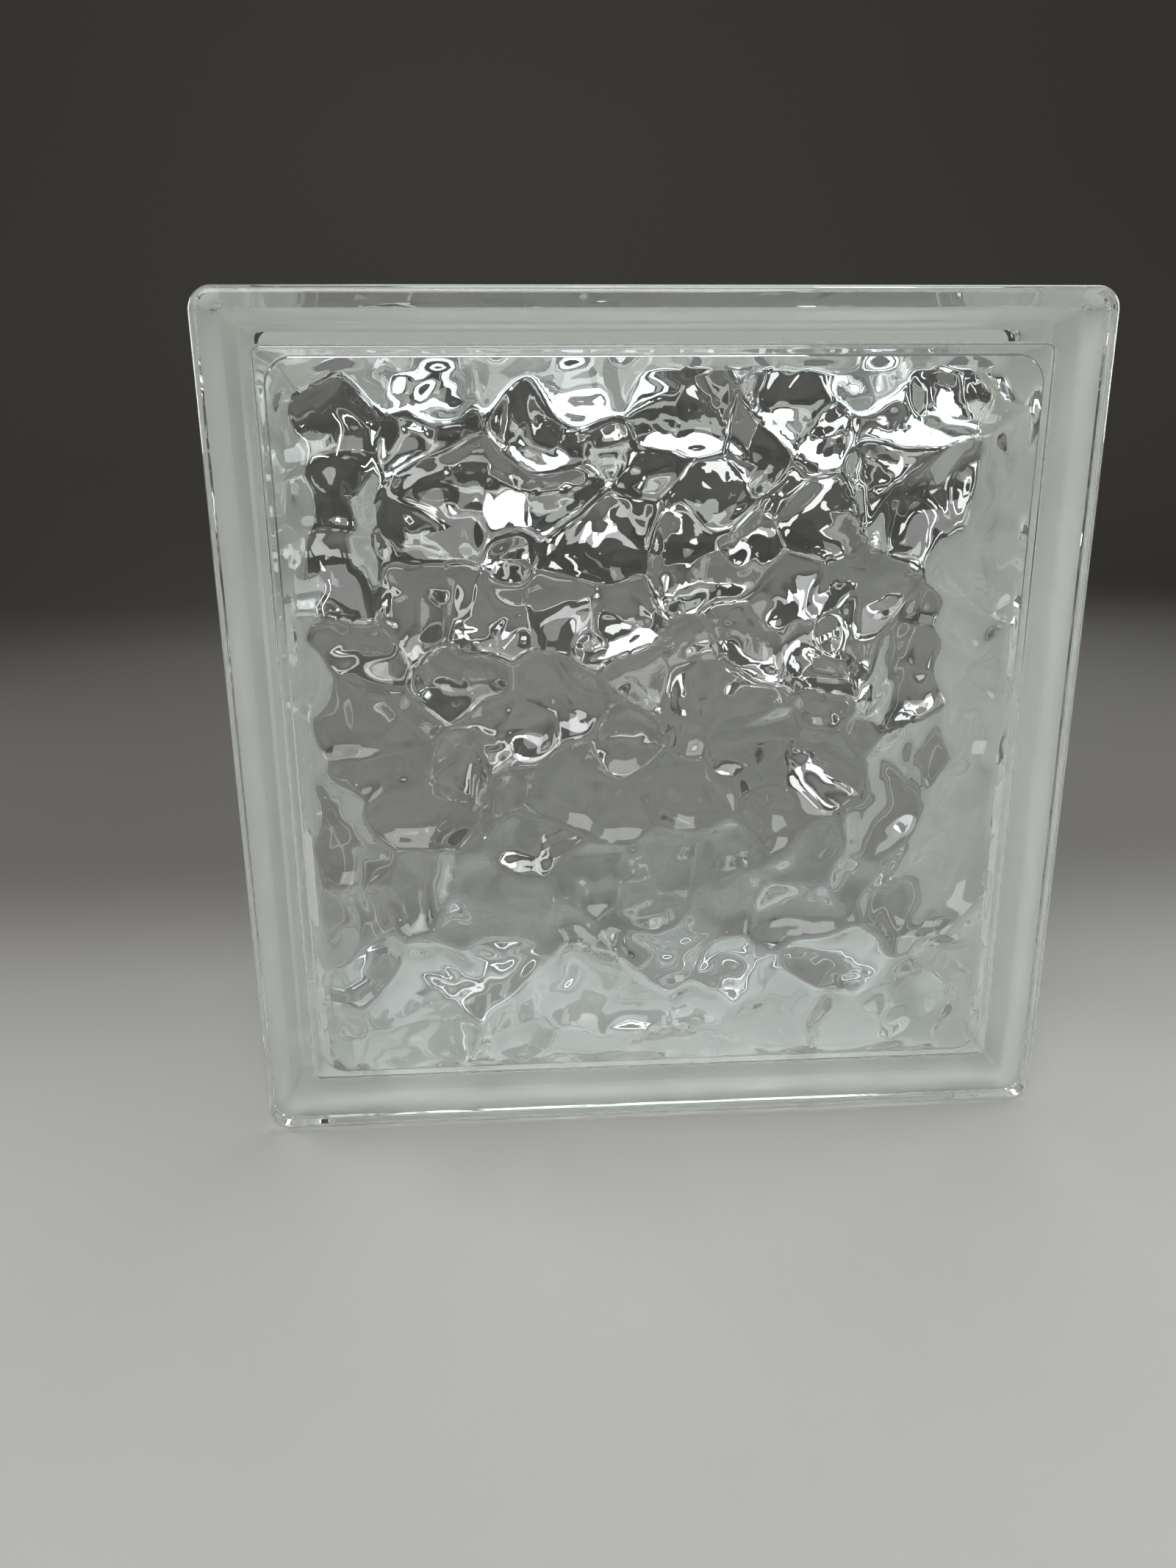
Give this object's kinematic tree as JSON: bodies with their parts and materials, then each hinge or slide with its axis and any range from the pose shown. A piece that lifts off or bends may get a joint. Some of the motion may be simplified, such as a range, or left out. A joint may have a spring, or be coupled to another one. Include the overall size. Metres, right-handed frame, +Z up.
{
  "type": "glass block",
  "caption": "Square hollow glass wall block: two pressed trays fused rim to rim, wavy inside, with a white coat in the mortar channel.",
  "frame": {"origin": "middle of the underside, where the block stands on its lower lands", "axes": "+Z up, -Y out of the front face, +X to the right seen from the front"},
  "size_m": [0.19, 0.08, 0.19],
  "materials": {
    "glass": "clear pressed soda-lime glass, faintly green, fire-polished outside and wavy inside",
    "coat": "white polymer edge coat, matt and slightly grainy"
  },
  "bodies": {
    "root": {"front_tray": "glass", "back_tray": "glass", "edge_coat": "coat"}
  },
  "joints": []
}
